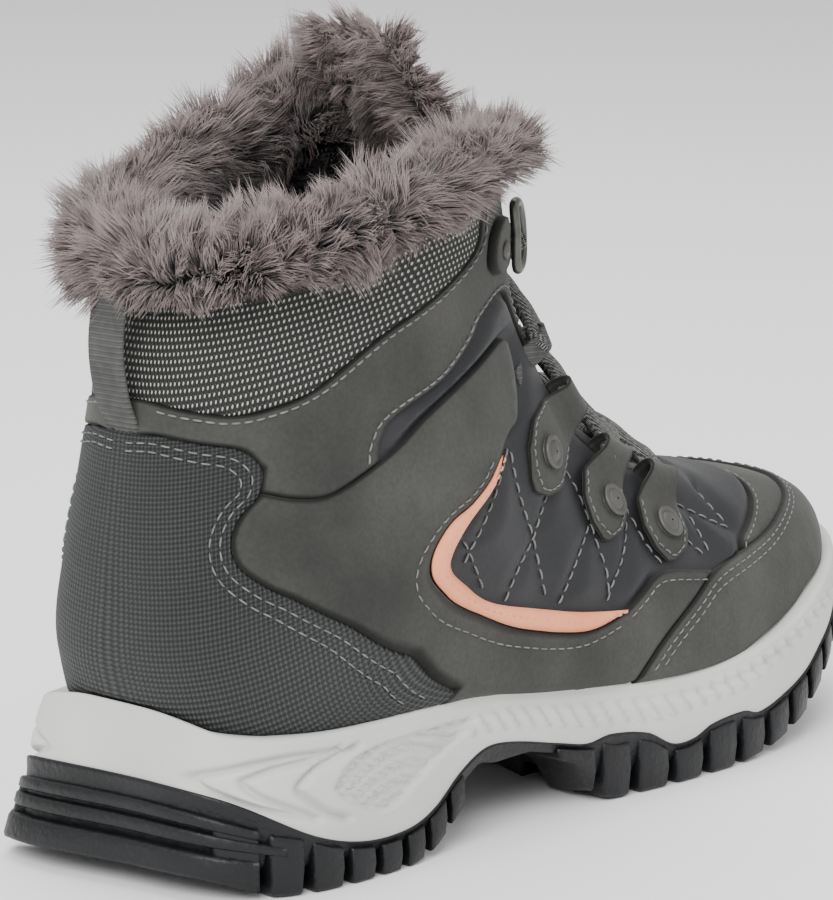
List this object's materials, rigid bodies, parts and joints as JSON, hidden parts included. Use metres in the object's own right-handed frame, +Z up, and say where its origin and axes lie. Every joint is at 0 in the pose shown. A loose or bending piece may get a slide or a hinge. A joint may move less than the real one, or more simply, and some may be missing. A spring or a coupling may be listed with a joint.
{
  "type": "snow boot",
  "caption": "Lace-up winter walking boot with a furred collar, quilted sides, riveted lace tabs, foam midsole and lugged rubber outsole, standing empty on its sole",
  "frame": {"origin": "Centre of the footprint on the floor, under the middle of the boot", "axes": "+X toward the toe, +Y toward the wearer's left, +Z up"},
  "size_m": [0.2706, 0.1002, 0.1938],
  "materials": {
    "outsole_rubber": "matt",
    "midsole_foam": "matt",
    "lining_felt": "felted",
    "nubuck": "brushed nubuck",
    "guard_fabric": "rubber coated weave",
    "fur": "deep pile",
    "webbing": "woven",
    "dull_metal": "dull"
  },
  "bodies": {
    "root": {"outsole": "outsole_rubber", "midsole": "midsole_foam", "insole": "lining_felt", "upper": "nubuck", "tongue": "nubuck", "heel_counter": "guard_fabric", "toe_cap": "nubuck", "fur_collar": "fur", "pull_loop": "webbing", "lace": "webbing", "lace_tab_right_1": "nubuck", "rivet_right_1": "dull_metal", "lace_tab_right_2": "nubuck", "rivet_right_2": "dull_metal", "lace_tab_right_3": "nubuck", "rivet_right_3": "dull_metal", "lace_loop_right": "webbing", "ring_tab_right": "nubuck", "d_ring_right": "dull_metal", "lace_tab_left_1": "nubuck", "rivet_left_1": "dull_metal", "lace_tab_left_2": "nubuck", "rivet_left_2": "dull_metal", "lace_tab_left_3": "nubuck", "rivet_left_3": "dull_metal", "lace_loop_left": "webbing", "ring_tab_left": "nubuck", "d_ring_left": "dull_metal"}
  },
  "joints": []
}
